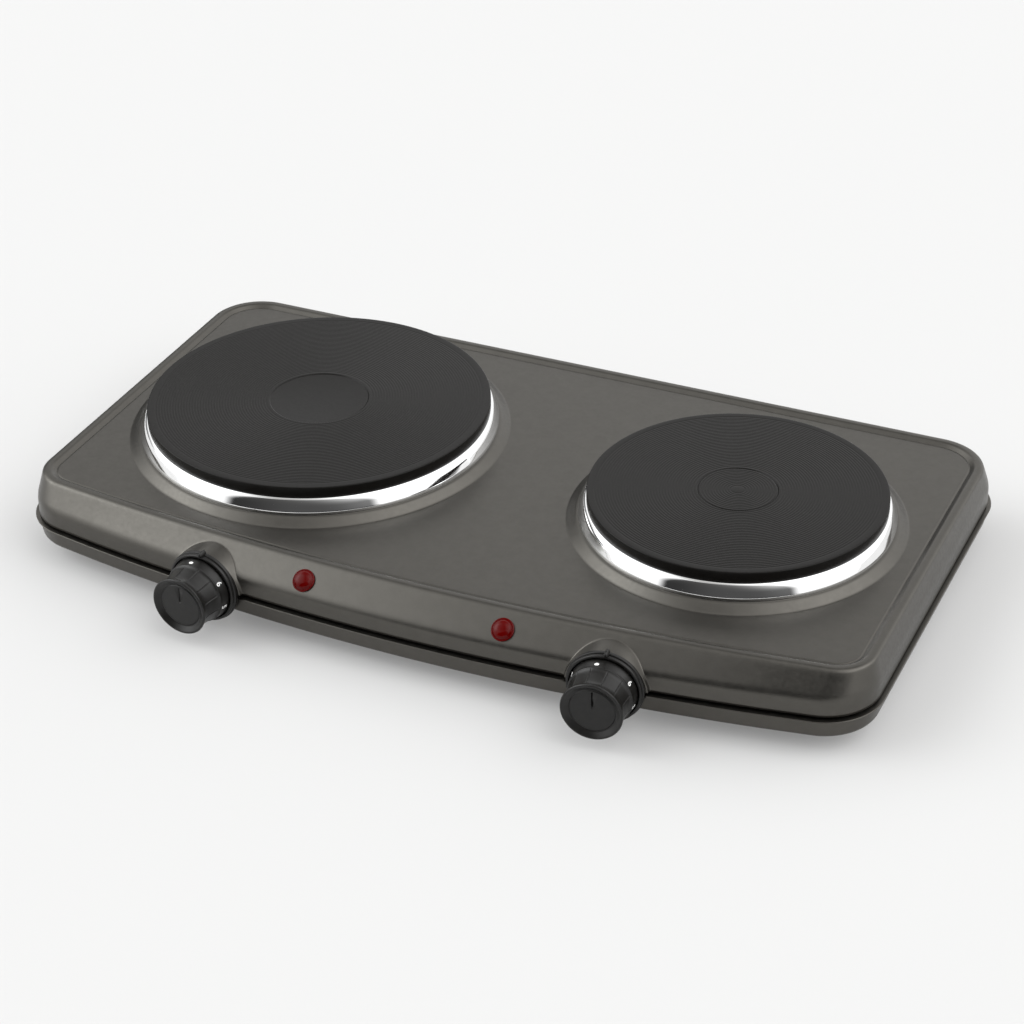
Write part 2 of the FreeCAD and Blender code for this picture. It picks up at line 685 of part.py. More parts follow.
def tube(points, radius, bend):
    """A sleeved wire: straight runs joined by tangent arcs."""
    edges = []
    start = points[0]
    for i in range(1, len(points) - 1):
        before = (points[i - 1] - points[i]).normalize()
        after = (points[i + 1] - points[i]).normalize()
        half = before.getAngle(after) / 2
        back = bend / math.tan(half)
        enter = points[i] + before * back
        leave = points[i] + after * back
        middle = points[i] + (before + after).normalize() * (bend / math.sin(half) - bend)
        edges.append(Part.LineSegment(start, enter).toShape())
        edges.append(Part.Arc(enter, middle, leave).toShape())
        start = leave
    edges.append(Part.LineSegment(start, points[-1]).toShape())
    path = Part.Wire(edges)
    heading = (points[1] - points[0]).normalize()
    section = Part.Wire([Part.Circle(points[0], heading, radius).toShape()])
    solid = path.makePipeShell([section], True, True)
    expected = math.pi * radius ** 2 * path.Length
    if abs(solid.Volume - expected) > 0.01 * expected:
        raise ValueError("wire volume does not match its length")
    return solid


def make_wiring():
    """Fibreglass-sleeved leads from the mains block to thermostats and plates."""
    floor = V.pan_bottom + V.sheet
    run_z = floor + 4
    block_z = floor + 7
    hang = V.plate_top - V.plate_depth - V.sheet - 2
    leads = []
    for sign in SIGNS:
        place = knob_placement(sign)
        plate_x = LARGE[-1] if sign < 0 else SMALL[-1]
        x = plate_x.number
        end = -V.bezel_thick - V.sheet - V.bracket_sheet - V.stat_long - 8.3
        block_y = V.plate_y - 35
        tab_in = place.multVec(Vector(-7 * sign, 0, end))
        tab_out = place.multVec(Vector(7 * sign, 0, end))
        tail = Vector(0, 12, 0)
        start_x = V.gland_x + V.terminal_pitch * sign
        route = [Vector(start_x, V.block_y - 8.2, block_z), Vector(start_x, 40, block_z)]
        fed = route + [Vector(tab_in.x, 20, run_z + 3), tab_in + tail, tab_in]
        leads.append(tube(fed, V.wire_radius, 6))
        drop = Vector(x + 8, block_y, run_z + 6)
        leads.append(tube([tab_out, tab_out + tail, drop, Vector(x + 8, block_y, hang - 0.2)],
                          V.wire_radius, 4))
        home_x = V.gland_x + 4 * sign
        home = [Vector(home_x, V.block_y - 8.2, block_z + 3), Vector(home_x, 46, block_z + 3),
                Vector(x - 8, block_y + 14, run_z + 9), Vector(x - 8, block_y, run_z + 9),
                Vector(x - 8, block_y, hang - 0.2)]
        leads.append(tube(home, V.wire_radius, 4))
    item = doc.addObject("Part::Feature", "Leads")
    item.Shape = Part.makeCompound(leads)
    keep(item, "internal_wiring")

    earth = tube([Vector(V.gland_x + 17.2, V.block_y, block_z), Vector(62, V.block_y, block_z),
                  Vector(V.earth_x, V.block_y - 6, block_z + 6),
                  Vector(V.earth_x, V.block_y, block_z + 6.2)],
                 V.wire_radius, 1.6)
    item = doc.addObject("Part::Feature", "Earth")
    item.Shape = earth
    keep(item, "earth_wire")


# ---------------------------------------------------------------- build and write

def build():
    make_top_shell()
    make_base_pan()
    make_posts_and_screws()
    make_feet()
    keep(group(*[make_plate(*plate) for plate in (LARGE, SMALL)]), "stud_nuts")
    screws = []
    clips = []
    for side, sign in SIDES:
        make_knob(side, sign)
        make_bezel(side, sign)
        screws.append(make_thermostat(side, sign))
        clips.append(make_lamp(side, sign))
    keep(group(*screws), "thermostat_screws")
    keep(group(*clips), "lamp_clips")
    make_mains()
    make_wiring()


def write():
    doc.recompute()
    for item in doc.Objects:
        if "Invalid" in item.State or "Error" in item.State:
            raise RuntimeError(f"{item.Label} did not build: {item.State}")
    for item in nodes:
        if item.Shape.isNull() or not item.Shape.isValid():
            raise RuntimeError(f"{item.Label} has a bad shape")
        item.Shape.exportStep(f"parts/{item.Label}.step")


build()
write()
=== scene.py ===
import json
import math

import bmesh
import bpy
import numpy as np
from mathutils import Matrix, Vector
from mathutils.geometry import delaunay_2d_cdt

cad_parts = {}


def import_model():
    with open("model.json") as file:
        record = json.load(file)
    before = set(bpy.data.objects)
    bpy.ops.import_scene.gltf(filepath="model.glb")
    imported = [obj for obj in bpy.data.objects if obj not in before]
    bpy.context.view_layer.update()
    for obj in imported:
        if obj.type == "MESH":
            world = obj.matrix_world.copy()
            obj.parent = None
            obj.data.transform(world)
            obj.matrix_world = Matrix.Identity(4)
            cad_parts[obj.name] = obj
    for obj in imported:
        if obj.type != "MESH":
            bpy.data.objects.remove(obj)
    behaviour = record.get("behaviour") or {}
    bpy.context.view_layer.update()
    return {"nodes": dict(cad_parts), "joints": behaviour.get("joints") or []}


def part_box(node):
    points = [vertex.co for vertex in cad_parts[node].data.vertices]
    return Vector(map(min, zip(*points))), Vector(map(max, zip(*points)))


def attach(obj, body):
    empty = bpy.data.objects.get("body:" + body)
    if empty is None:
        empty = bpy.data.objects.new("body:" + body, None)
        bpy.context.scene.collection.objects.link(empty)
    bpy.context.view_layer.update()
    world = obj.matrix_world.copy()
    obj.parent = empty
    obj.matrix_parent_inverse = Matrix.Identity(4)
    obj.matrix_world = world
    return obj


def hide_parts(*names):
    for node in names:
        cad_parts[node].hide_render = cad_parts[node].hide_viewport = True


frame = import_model()

# Double electric hot plate. Profiles and helpers below work in millimetres, in the CAD's frame:
# x to the right, y to the back, z up, with the floor at zero.
MM = 0.001
SCENE = bpy.context.scene


# ------------------------------------------------------------------ sizes taken from the frame

def span(node):
    low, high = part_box(node)
    return np.array(low) / MM, np.array(high) / MM


def plate_facts(name):
    """Centre x, centre y, radius and top of a plate."""
    low, high = span(f"{name}_plate")
    return (low[0] + high[0]) / 2, (low[1] + high[1]) / 2, (high[0] - low[0]) / 2, high[2]


PLATES = {name: plate_facts(name) for name in ("large", "small")}
PLATE_Y = PLATES["large"][1]
PLATE_TOP = PLATES["large"][3]
PLATE_BOTTOM = span("large_plate")[0][2]
PLATE_SIDE = 5.8        # height of a plate's side above its trim ring
PLATE_NECK = 6.0        # how far a plate's skirt is set in under its side
SHELL_LOW, SHELL_HIGH = span("top_shell")
PAN_LOW, PAN_HIGH = span("base_pan")
SHEET = 0.8             # thickness of the pressed steel

# Levels of the body, from the floor up.
PAN_Z = PAN_LOW[2]
LIP_Z = 21.2            # top of the pan's lip, under the dark gap
SKIRT_Z = SHELL_LOW[2]
BREAK_Z = 32.6          # where the upright skirt meets the sloping apron
PANEL_Z = 43.8
SHOULDER_Z = 44.4       # level at which RIM below is given
CREST_Z = 45.3
SEAT_Z = SHELL_HIGH[2]

BREAK_IN = 0.2          # draft of the skirt
BREAK_ROUND = 2.6
LIP_OUT = PAN_HIGH[0] - SHELL_HIGH[0]
UPSTAND_IN = 3.4
PAN_TAPER = 0.9
PAN_FLOOR_IN = 9.0

# Outlines at the skirt and at the rim, from the plates' centre line.
SKIRT = {"half": SHELL_HIGH[0], "back": SHELL_HIGH[1] - PLATE_Y, "front": PLATE_Y - SHELL_LOW[1],
         "bow": 1170.0, "corner": 30.0, "back_corner": 28.5}
RIM = {"half": 233.5, "back": 118.9, "front": 125.3, "bow": 1590.0, "corner": 21.0,
       "back_corner": 28.5}
FRONT_END = 188.0       # half of the bowed front between its corners
FRONT_X = np.arange(FRONT_END, -FRONT_END - 1, -4.0)

# Each knob's own frame: x along the front, y up, z out along its shaft.
KNOBS = {}
for joint in frame["joints"]:
    out = -Vector(joint["axis"])
    up = Vector((0, 0, 1))
    along = up.cross(out)
    turn = Matrix((along, up, out)).transposed().to_4x4()
    KNOBS[joint["child"]] = Matrix.Translation(Vector(joint["pos_m"])) @ turn
KNOB_RADIUS = 17.3
BEZEL_RADIUS = 20.0
BEZEL_THICK = 4.0


# ------------------------------------------------------------------ mesh helpers

def link(name, mesh):
    obj = bpy.data.objects.new(name, mesh)
    SCENE.collection.objects.link(obj)
    return obj


def bend_between(u, start, corner, end):
    """A point on the soft curve that leaves start and reaches end, pulled towards corner."""
    return (1 - u) ** 2 * start + 2 * u * (1 - u) * corner + u * u * end


def soften(points, sizes, steps=5):
    """Round a profile's corners; sizes[i] is how far from corner i its round starts and ends."""
    points = [np.array(p, float) for p in points]
    out = []
    for i, corner in enumerate(points):
        size = sizes[i]
        if size == 0:
            out.append(corner)
            continue
        before = points[i - 1] - corner
        after = points[i + 1] - corner
        start = corner + before * min(size / np.linalg.norm(before), 0.49)
        end = corner + after * min(size / np.linalg.norm(after), 0.49)
        for u in np.linspace(0, 1, steps + 1):
            out.append(bend_between(u, start, corner, end))
    return out


WELD = 0.004            # points nearer than this become one


class Skin:
    """Points and faces gathered piece by piece, welded into one mesh at the end."""

    def __init__(self):
        self.points = []
        self.faces = []

    def add(self, points, faces):
        base = len(self.points)
        self.points += [tuple(float(c) for c in p) for p in points]
        self.faces += [tuple(base + i for i in face) for face in faces]

    def rows(self, rows, closed=True, keep=None):
        """Quads between successive rows of the same number of points."""
        count = len(rows[0])
        faces = []
        for j in range(len(rows) - 1):
            for i in range(count if closed else count - 1):
                if keep is None or keep(j, i):
                    k = (i + 1) % count
                    faces.append((j * count + i, j * count + k, (j + 1) * count + k,
                                  (j + 1) * count + i))
        self.add(np.concatenate(rows), faces)

    def object(self, name, place=None, up=False):
        mesh = bpy.data.meshes.new(name)
        mesh.from_pydata([tuple(c * MM for c in p) for p in self.points], [], self.faces)
        if place is not None:
            mesh.transform(place)
        bm = bmesh.new()
        bm.from_mesh(mesh)
        bmesh.ops.remove_doubles(bm, verts=bm.verts, dist=WELD * MM)
        bmesh.ops.delete(bm, geom=[v for v in bm.verts if not v.link_faces], context="VERTS")
        bmesh.ops.recalc_face_normals(bm, faces=bm.faces)
        if up:
            largest = max(bm.faces, key=lambda face: face.calc_area())
            if largest.normal.z < 0:
                bmesh.ops.reverse_faces(bm, faces=bm.faces)
        bm.to_mesh(mesh)
        bm.free()
        mesh.shade_smooth()
        return link(name, mesh)


def ring(radius, z, x=0.0, y=0.0, count=96):
    t = np.linspace(0, 2 * math.pi, count, endpoint=False)
    return np.c_[x + radius * np.cos(t), y + radius * np.sin(t), np.full(count, z)]


def revolve(skin, profile, x=0.0, y=0.0, count=96):
    """Turn a profile of (radius, z) points about an upright axis."""
    skin.rows([ring(radius, z, x, y, count) for radius, z in profile])


def inside(points, loop):
    """Which 2-D points lie within a closed loop."""
    x, y = points[:, 0:1], points[:, 1:2]
    a = np.asarray(loop)
    b = np.roll(a, -1, axis=0)
    spans = (a[:, 1] > y) != (b[:, 1] > y)
    rise = np.where(b[:, 1] == a[:, 1], 1e-9, b[:, 1] - a[:, 1])
    cross = a[:, 0] + (y - a[:, 1]) * (b[:, 0] - a[:, 0]) / rise
    return (np.sum(spans & (x < cross), axis=1) % 2) == 1


def fill(outer, holes, extra=()):
    """Triangles of the flat area within outer and outside the holes, as 2-D points and faces."""
    points = []
    edges = []
    for loop in (outer, *holes):
        base = len(points)
        count = len(loop)
        points += [Vector((float(p[0]), float(p[1]))) for p in loop]
        edges += [(base + i, base + (i + 1) % count) for i in range(count)]
    points += [Vector((float(p[0]), float(p[1]))) for p in extra]
    found = delaunay_2d_cdt(points, edges, [], 0, 1e-5)
    flat = np.array([tuple(p) for p in found[0]])
    faces = np.array([tuple(f) for f in found[2]])
    middles = flat[faces].mean(axis=1)
    good = inside(middles, outer)
    for hole in holes:
        good &= ~inside(middles, hole)
    return flat, faces[good]


def carve(obj, cutters):
    """Cut closed meshes out of a piece, for good."""
    for cutter in cutters:
        change = obj.modifiers.new("cut", "BOOLEAN")
        change.operation = "DIFFERENCE"
        change.solver = "EXACT"
        change.object = cutter
        shown = obj.evaluated_get(bpy.context.evaluated_depsgraph_get())
        mesh = bpy.data.meshes.new_from_object(shown)
        obj.modifiers.clear()
        obj.data = mesh
        bpy.data.objects.remove(cutter)


def cutter(radius, low, high, place):
    skin = Skin()
    revolve(skin, [(0, low), (radius, low), (radius, high), (0, high)])
    return skin.object("cutter", place)


# ------------------------------------------------------------------ body outlines

def outline(form, inset=0.0):
    """The body's outline at one level: straight back and sides, rounded corners, bowed front."""
    half, back, front = form["half"] - inset, form["back"] - inset, form["front"] - inset
    bow, corner = form["bow"] - inset, form["corner"] - inset
    back_corner = form["back_corner"] - inset
    bow_y = bow - front
    side = half - corner
    turn_y = bow_y - math.sqrt((bow - corner) ** 2 - side ** 2)
    lean = math.atan2(turn_y - bow_y, side)
    shoulder = back - back_corner
    right = []
    for t in np.linspace(math.pi / 2, 0, 19):
        right.append((half - back_corner + back_corner * math.cos(t),
                      shoulder + back_corner * math.sin(t)))
    for u in np.linspace(0, 1, 22)[1:-1]:
        right.append((half, shoulder + (turn_y - shoulder) * u))
    for t in np.linspace(0, lean, 25):
        right.append((side + corner * math.cos(t), turn_y + corner * math.sin(t)))
    across = [(x, bow_y - math.sqrt(bow ** 2 - x ** 2)) for x in FRONT_X]
    left = [(-x, y) for x, y in reversed(right)]
    behind = [(x, back) for x in np.linspace(back_corner - half, half - back_corner, 60)[1:-1]]
    points = np.array(right + across + left + behind)
    points[:, 1] += PLATE_Y
    return points


def at_height(points, z):
    return np.c_[points, np.full(len(points), z)]


def wall(z, skirt, bend, crest):
    """The upright skirt, its soft bend and the sloping apron above it."""
    low = bend + (skirt - bend) * BREAK_ROUND / (BREAK_Z - SKIRT_Z)
    high = bend + (crest - bend) * BREAK_ROUND / (CREST_Z - BREAK_Z)
    u = np.clip((z - BREAK_Z + BREAK_ROUND) / (2 * BREAK_ROUND), 0, 1)
    turn = bend_between(u, low, bend, high)
    below = skirt + (bend - skirt) * (z - SKIRT_Z) / (BREAK_Z - SKIRT_Z)
    above = bend + (crest - bend) * (z - BREAK_Z) / (CREST_Z - BREAK_Z)
    return np.where(z < BREAK_Z - BREAK_ROUND, below,
                    np.where(z > BREAK_Z + BREAK_ROUND, above, turn))


def carried_up(bend, rim):
    """The apron's line carried on from the shoulder to the crest's height."""
    return rim + (rim - bend) * (CREST_Z - SHOULDER_Z) / (SHOULDER_Z - BREAK_Z)


def bow_y(x, form, inset=0.0):
    bow = form["bow"] - inset
    return PLATE_Y - (form["front"] - inset) + bow - np.sqrt(bow ** 2 - x ** 2)


def front_y(x, z):
    """Where the front of the body lies."""
    bend = bow_y(x, SKIRT, BREAK_IN)
    return wall(z, bow_y(x, SKIRT), bend, carried_up(bend, bow_y(x, RIM)))


# ------------------------------------------------------------------ top shell

CREST_ROUND = 1.6
CREST_IN = 2.6
PATCH = 32.0            # half width of the stretch of front that a boss is pressed in
PATCH_Z = CREST_Z - CREST_ROUND
WALL_Z = np.concatenate([
    np.linspace(SKIRT_Z, BREAK_Z - BREAK_ROUND, 6),
    np.linspace(BREAK_Z - BREAK_ROUND, BREAK_Z + BREAK_ROUND, 11)[1:],
    np.linspace(BREAK_Z + BREAK_ROUND, PATCH_Z, 8)[1:]])
# The crest, the crease at its foot and the start of the flat panel: inset from RIM, and level.
STEP = soften([(CREST_IN, CREST_Z), (4.6, CREST_Z), (7.4, PANEL_Z - 0.4), (8.3, PANEL_Z),
               (11.5, PANEL_Z)], [0, 1.1, 0.2, 0.3, 0])
# The raised seat round a plate, as distances outside the plate's radius.
SEAT_SHOULDER = 5.2
SEAT_FOOT = 10.6
SEAT_EDGE = -0.5
SEAT_BRIM = 1.2
SEAT_STEPS = 200
BOSS_RADIUS = 22.0
BOSS_DROP = 3.0         # how far the boss's axis lies below the knob's
BOSS_DRAFT = 0.4
BOSS_FACE_RINGS = (20.0, 16.0)
BOSS_STEPS = 72


def shell_rows():
    skirt = outline(SKIRT)
    bend = outline(SKIRT, BREAK_IN)
    crest = carried_up(bend, outline(RIM))
    rows = [at_height(wall(z, skirt, bend, crest), z) for z in WALL_Z]
    start = rows[-1]
    corner = at_height(crest, CREST_Z)
    end = at_height(outline(RIM, CREST_IN), CREST_Z)
    for u in np.linspace(0, 1, 7)[1:]:
        rows.append(bend_between(u, start, corner, end))
    rows += [at_height(outline(RIM, inset), z) for inset, z in STEP[1:]]
    return rows


def in_patch(x_a, x_b):
    """Whether a stretch of front belongs to a boss's patch."""
    middle = (x_a + x_b) / 2
    return any(abs(middle - place.translation.x / MM) < PATCH for place in KNOBS.values())


def boss_patch(skin, place):
    """The pressed boss behind a knob, blended into the front of the body."""
    origin = np.array(place.translation) / MM
    along, out = (np.array(place.col[i][:3]) for i in (0, 2))

    def world(x, y, z):
        """Points of the knob's frame in the body's."""
        return (origin + np.multiply.outer(x, along) + np.multiply.outer(z, out)
                + np.c_[np.zeros_like(x), np.zeros_like(x), y])

    def base(x, y):
        """How far out along the knob's axis the plain front lies."""
        z = np.full_like(x, -6.0)
        for _ in range(8):
            there = world(x, y, z)
            z = z + (there[:, 1] - front_y(there[:, 0], there[:, 2])) / -out[1]
        return z

    cut = SKIRT_Z - origin[2] + BOSS_DROP
    share = np.linspace(0, 1, BOSS_STEPS + 1)

    def polar(radius):
        """An arch of the given radii round the boss's axis, down to the skirt's edge."""
        start = np.arcsin(cut / radius)
        t = start + (math.pi - 2 * start) * share
        return radius * np.cos(t), radius * np.sin(t) - BOSS_DROP, np.sin(t)

    face = -BEZEL_THICK
    x, y, sine = polar(np.full_like(share, BOSS_RADIUS))
    height = face - base(x, y)
    reach_up = np.clip(0.12 * height, 0.15, 0.6)
    head_room = (PATCH_Z - 0.3 - origin[2] + BOSS_DROP) / np.maximum(sine, 0.2) - BOSS_RADIUS
    reach_out = np.minimum(reach_up, np.maximum(head_room, 0.8))
    outer = BOSS_RADIUS + reach_out
    x, y, _ = polar(outer)
    foot = base(x, y)
    step_out = 0.3
    x_far, y_far, _ = polar(outer + step_out)
    slope = (base(x_far, y_far) - foot) / step_out
    corner = foot + slope * (BOSS_RADIUS - outer)
    edge = np.minimum(0.9, 0.35 * height)
    rows = [world(x, y, foot)]
    border = rows[0]

    def add_row(radius, z):
        px, py, _ = polar(radius)
        rows.append(world(px, py, z))

    # The fillet at its foot, its side, its rounded edge and its flat face.
    top = BOSS_RADIUS - 0.05
    top_z = corner + reach_up
    for u in np.linspace(0, 1, 8)[1:]:
        add_row(bend_between(u, outer, BOSS_RADIUS, top), bend_between(u, foot, corner, top_z))
    for u in (0.33, 0.67, 1.0):
        add_row(np.full_like(share, top - BOSS_DRAFT * u), top_z + (face - edge - top_z) * u)
    side = top - BOSS_DRAFT
    for u in np.linspace(0, 1, 6)[1:]:
        add_row(bend_between(u, side, side, side - edge),
                bend_between(u, face - edge, face, face))
    for radius in BOSS_FACE_RINGS:
        add_row(np.full_like(share, radius), np.full_like(share, face))
    skin.rows(rows, closed=False)

    # The front round it, as triangles that meet the rows of the plain wall on both sides.
    middle = round(origin[0])
    columns = FRONT_X[np.abs(FRONT_X - middle) <= PATCH]
    first, last = columns.min(), columns.max()
    rectangle = [(x, SKIRT_Z) for x in columns[::-1]]
    rectangle += [(last, z) for z in WALL_Z[1:]]
    rectangle += [(x, PATCH_Z) for x in columns[1:]]
    rectangle += [(first, z) for z in WALL_Z[-2:0:-1]]
    arch = border[:, [0, 2]]
    arch[0, 1] = arch[-1, 1] = SKIRT_Z
    grid = np.array([(x, z) for x in np.arange(first + 2, last, 2.0) for z in WALL_Z[1:-1]])
    gap = np.linalg.norm(grid[:, None] - arch[None], axis=2).min(axis=1)
    grid = grid[(gap > 0.7) & ~inside(grid, arch)]
    flat, faces = fill(rectangle, [arch], grid)
    skin.add(np.c_[flat[:, 0], front_y(flat[:, 0], flat[:, 1]), flat[:, 1]], faces)


def make_shell():
    skin = Skin()
    rows = shell_rows()
    patched = []
    for a, b in zip(rows[0], np.roll(rows[0], -1, axis=0)):
        on_front = max(a[1], b[1]) < 0 and max(abs(a[0]), abs(b[0])) <= FRONT_END
        patched.append(on_front and in_patch(a[0], b[0]))
    skin.rows(rows, keep=lambda j, i: not (patched[i] and j < len(WALL_Z) - 1))
    for place in KNOBS.values():
        boss_patch(skin, place)
    holes = []
    for x, y, radius, _ in PLATES.values():
        foot = radius + SEAT_FOOT
        holes.append(ring(foot + SEAT_BRIM, 0, x, y, SEAT_STEPS)[:, :2])
        profile = soften([(foot + SEAT_BRIM, PANEL_Z), (foot - 0.1, PANEL_Z),
                          (radius + SEAT_SHOULDER, SEAT_Z), (radius + SEAT_EDGE, SEAT_Z)],
                         [0, 1.2, 1.5, 0], 7)
        revolve(skin, profile, x, y, SEAT_STEPS)
    flat, faces = fill(rows[-1][:, :2], holes)
    skin.add(at_height(flat, PANEL_Z), faces)
    shell = skin.object("body_shell", up=True)
    thick = shell.modifiers.new("sheet", "SOLIDIFY")
    thick.thickness = SHEET * MM
    thick.offset = -1
    return shell


# ------------------------------------------------------------------ base pan

SLOT_WIDE = 4.0
SLOT_LONG = 35.2
SLOT_PITCH = 13.0
SLOT_ROW = 44.0         # from the plate's centre to the middle of a row of slots
BEZEL_GAP = 0.3


def slot_loop(x, y):
    """A cooling slot with round ends."""
    reach = (SLOT_LONG - SLOT_WIDE) / 2
    points = []
    for side in (1, -1):
        for t in np.linspace(0, math.pi, 9):
            points.append((x + side * math.cos(t) * SLOT_WIDE / 2,
                           y + side * (reach + math.sin(t) * SLOT_WIDE / 2)))
    return np.array(points)


def make_pan():
    low = LIP_Z - SHEET
    section = soften([(PAN_FLOOR_IN, PAN_Z), (PAN_TAPER, PAN_Z), (0, low), (-LIP_OUT, low),
                      (-LIP_OUT, LIP_Z), (UPSTAND_IN, LIP_Z), (UPSTAND_IN, PAN_HIGH[2]),
                      (UPSTAND_IN + SHEET, PAN_HIGH[2]), (UPSTAND_IN + SHEET, low), (SHEET, low),
                      (PAN_TAPER + SHEET, PAN_Z + SHEET), (PAN_FLOOR_IN, PAN_Z + SHEET)],
                     [0, 2.6, 0.3, 0.38, 0.38, 0.5, 0.2, 0.2, 0, 0, 1.8, 0], 4)
    skin = Skin()
    skin.rows([at_height(outline(SKIRT, inset), z) for inset, z in section])
    holes = []
    for x, y, _, _ in PLATES.values():
        for step in range(-3, 4):
            for row in (-1, 1):
                holes.append(slot_loop(x + step * SLOT_PITCH, y + row * SLOT_ROW))
    flat, faces = fill(outline(SKIRT, PAN_FLOOR_IN), holes)
    for z in (PAN_Z, PAN_Z + SHEET):
        skin.add(at_height(flat, z), faces)
    for hole in holes:
        skin.rows([at_height(hole, PAN_Z), at_height(hole, PAN_Z + SHEET)])
    pan = skin.object("body_pan")
    cutters = []
    for place in KNOBS.values():
        cutters.append(cutter(18.2, -18, 3, place))
        cutters.append(cutter(BEZEL_RADIUS + BEZEL_GAP, -BEZEL_THICK - 0.1, 3, place))
    carve(pan, cutters)
    return pan


# ------------------------------------------------------------------ plates and trim rings

ROUND_STEPS = 256
GROOVE = 1.5
GROOVE_DEEP = 0.12
GROOVE_SHAPE = ((0.0, 0.0), (0.22, 0.22), (0.5, 1.0), (0.78, 0.22))
PLAIN_EDGE = 3.6        # the ungrooved rim of a plate
LARGE_SUNK = 0.4
SMALL_SUNK = 0.12


def grooves(start, end, top):
    """Fine turned grooves from one radius to another."""
    points = []
    count = int(round((end - start) / GROOVE))
    for i in range(count):
        for share, deep in GROOVE_SHAPE:
            points.append((start + (i + share) * GROOVE, top - GROOVE_DEEP * deep))
    points.append((start + count * GROOVE, top))
    return points


def plate_face(name, radius, top):
    """The large plate's middle is a smooth sunk disc, the small one's a grooved disc in a ring."""
    if name == "large":
        sunk = top - LARGE_SUNK
        inner = soften([(0, sunk), (26.8, sunk), (27.2, top), (28.0, top)], [0, 0.2, 0.2, 0], 3)
        return inner + grooves(28.5, radius - PLAIN_EDGE, top)
    sunk = top - SMALL_SUNK
    inner = [(0, sunk)] + grooves(3.0, 19.6, sunk)
    inner += soften([(20.3, sunk), (20.7, sunk - 0.35), (21.2, top), (21.6, top)],
                    [0, 0.15, 0.15, 0], 3)
    return inner + grooves(22.0, radius - PLAIN_EDGE, top)


def make_plate(name):
    x, y, radius, top = PLATES[name]
    side = top - PLATE_SIDE
    neck = radius - PLATE_NECK
    hollow = neck - 5.0
    ceiling = top - 6.5
    low = PLATE_BOTTOM
    hub = 20.0
    stud = 3.0
    profile = plate_face(name, radius, top)
    profile += soften([(radius - 1.6, top), (radius, top), (radius, side), (neck, side)],
                      [0, 0.6, 0.4, 0])
    profile += [(neck, low), (hollow, low), (hollow, ceiling), (hub, ceiling), (hub, low),
                (stud, low), (stud, ceiling), (0, ceiling)]
    skin = Skin()
    revolve(skin, profile, x, y, ROUND_STEPS)
    return skin.object(f"{name}_hot_plate")


def make_trim_ring(name):
    x, y, radius, top = PLATES[name]
    side = top - PLATE_SIDE
    foot = radius + 4.4
    neck = radius - PLATE_NECK
    sheet = 0.6
    profile = soften([(neck, side), (radius + 0.9, side), (radius + 2.4, 54.0), (foot, 49.4),
                      (foot, SEAT_Z), (foot - sheet, SEAT_Z), (foot - sheet, 49.3),
                      (radius + 1.8, 53.8), (radius + 0.6, side - sheet), (neck, side - sheet)],
                     [0, 1.0, 1.6, 0.8, 0.1, 0.1, 0.8, 1.5, 0.8, 0], 8)
    skin = Skin()
    revolve(skin, profile + [profile[0]], x, y, ROUND_STEPS)
    return skin.object(f"{name}_chrome_ring")


# ------------------------------------------------------------------ knobs

FACETS = 12
FACET_TURN = 360 / FACETS
FACET_TURNS = (0, 0.8, 1.5, 2.4, 5, 9, 12, 15, 18, 21, 25, 27.6, 28.5, 29.2)
FLATNESS = 0.55         # 1 is a flat facet, 0 a round grip
TRENCH = 1.5            # half of the groove between two facets, in degrees
TRENCH_DEEP = 0.42
GRIP_FOOT = 6.0
GRIP_HEAD = 18.2
KNOB_LONG = 19.9
FACE_Z = 18.3
SLIT_WIDE = 1.0
SLIT_Y = (1.8, 10.8)
SLIT_Z = (16.9, 19.0)

# (radius, z) points: the printed skirt, the grip, the face and the hollow behind it.
KNOB_SKIRT = [(15.4, -0.6), (17.0, -0.6), (KNOB_RADIUS, -0.3), (17.25, 0.6), (16.95, 2.4),
              (16.62, 4.4), (16.5, 5.1), (16.62, 5.35), (16.66, 5.6), (16.5, 5.85),
              (16.2, GRIP_FOOT)]
KNOB_GRIP = soften([(16.05, 6.2), (15.5, 9.2), (14.95, 13.4), (14.9, 15.2), (15.3, 17.2),
                    (15.9, 18.9)], [0, 1.6, 1.2, 0.7, 0.9, 0], 3)[1:]
KNOB_FACE = soften([(15.9, 18.9), (16.0, 19.3), (15.6, KNOB_LONG), (14.8, KNOB_LONG),
                    (12.4, 18.1), (11.9, 17.9), (11.4, FACE_Z), (0, FACE_Z)],
                   [0, 0.2, 0.3, 0.3, 0.4, 0.15, 0.15, 0], 4)
KNOB_HOLLOW = [(0, 12.1), (3.05, 12.1), (3.05, 1.0), (5.15, 1.0), (5.15, 16.4), (13.0, 16.4),
               (13.2, 15.9), (14.6, 6.0), (15.4, -0.6)]


